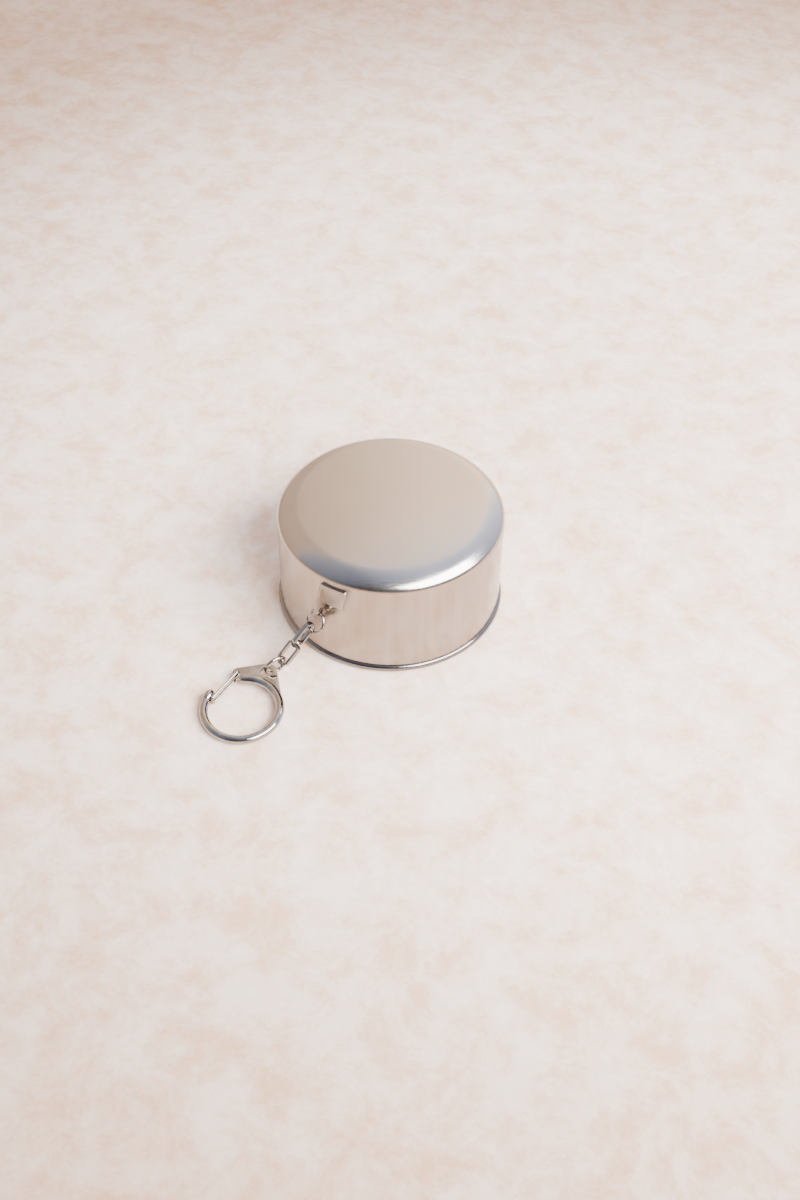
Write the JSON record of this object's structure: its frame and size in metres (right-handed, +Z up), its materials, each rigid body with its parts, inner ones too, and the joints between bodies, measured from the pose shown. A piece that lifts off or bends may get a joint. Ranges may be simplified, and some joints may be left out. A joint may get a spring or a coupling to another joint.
{
  "type": "collapsible travel cup",
  "caption": "Closed telescoping steel travel cup under a domed metal cap, with a lug, jump rings, a riveted swivel and a round snap clip.",
  "frame": {"origin": "centre of the foot's flat underside, on the cup's axis", "axes": "+Z up the cup's axis; the cap's lug stands out towards -Y and its chain is laid out that way on the table; +X is to the right of the lug seen from outside"},
  "size_m": [0.0654, 0.1065, 0.0359],
  "materials": {
    "satin_steel": "satin, finely brushed up the wall",
    "polished_steel": "polished",
    "bright_nickel": "bright plated"
  },
  "bodies": {
    "base": {"foot_saucer": "polished_steel", "bottom_cup": "polished_steel"},
    "second": {"section_2": "polished_steel"},
    "third": {"section_3": "polished_steel"},
    "outer": {"section_4": "polished_steel"},
    "cap": {"cap_shell": "satin_steel", "cap_lug": "satin_steel"},
    "lug_ring": {"lug_ring": "bright_nickel"},
    "upper_bail": {"swivel_upper_bail": "bright_nickel", "swivel_rivet": "bright_nickel"},
    "lower_bail": {"swivel_lower_bail": "bright_nickel"},
    "clip_ring": {"clip_ring": "bright_nickel"},
    "clip": {"clip_body": "bright_nickel"},
    "gate": {"clip_gate": "bright_nickel"}
  },
  "joints": [
    {"name": "second_lift", "type": "slide", "parent": "base", "child": "second", "axis": [0, 0, 1], "range_m": [0, 0.02]},
    {"name": "third_lift", "type": "slide", "parent": "second", "child": "third", "axis": [0, 0, 1], "range_m": [0, 0.02]},
    {"name": "outer_lift", "type": "slide", "parent": "third", "child": "outer", "axis": [0, 0, 1], "range_m": [0, 0.02]},
    {"name": "cap_lift", "type": "slide", "parent": "outer", "child": "cap", "axis": [0, 0, 1], "range_m": [0, 0.04]},
    {"name": "lug_ring_swing", "type": "hinge", "parent": "cap", "child": "lug_ring", "pos_m": [0, -0.0335, 0.0193], "axis": [1, 0, 0], "range_deg": [-80, 15]},
    {"name": "upper_bail_swing", "type": "hinge", "parent": "lug_ring", "child": "upper_bail", "pos_m": [-0.00215, -0.03572, 0.01345], "axis": [-0.8077, 0.4261, 0.4076], "range_deg": [-25, 30]},
    {"name": "swivel_turn", "type": "hinge", "parent": "upper_bail", "child": "lower_bail", "pos_m": [-0.00394, -0.03948, 0.00893], "axis": [-0.2923, -0.6111, -0.7356], "continuous": true},
    {"name": "clip_ring_swing", "type": "hinge", "parent": "lower_bail", "child": "clip_ring", "pos_m": [-0.00609, -0.04396, 0.00354], "axis": [0.9435, -0.3097, -0.1176], "range_deg": [-40, 40]},
    {"name": "clip_swing", "type": "hinge", "parent": "clip_ring", "child": "clip", "pos_m": [-0.00672, -0.04559, 0.00363], "axis": [0.9152, -0.3636, -0.1736], "range_deg": [-40, 60]},
    {"name": "gate_swing", "type": "hinge", "parent": "clip", "child": "gate", "pos_m": [-0.01394, -0.05312, 0.00227], "axis": [0.0085, -0.0493, 0.9987], "range_deg": [0, 30], "stiffness_Nm_per_rad": 0.02, "springref_deg": -11.46}
  ]
}
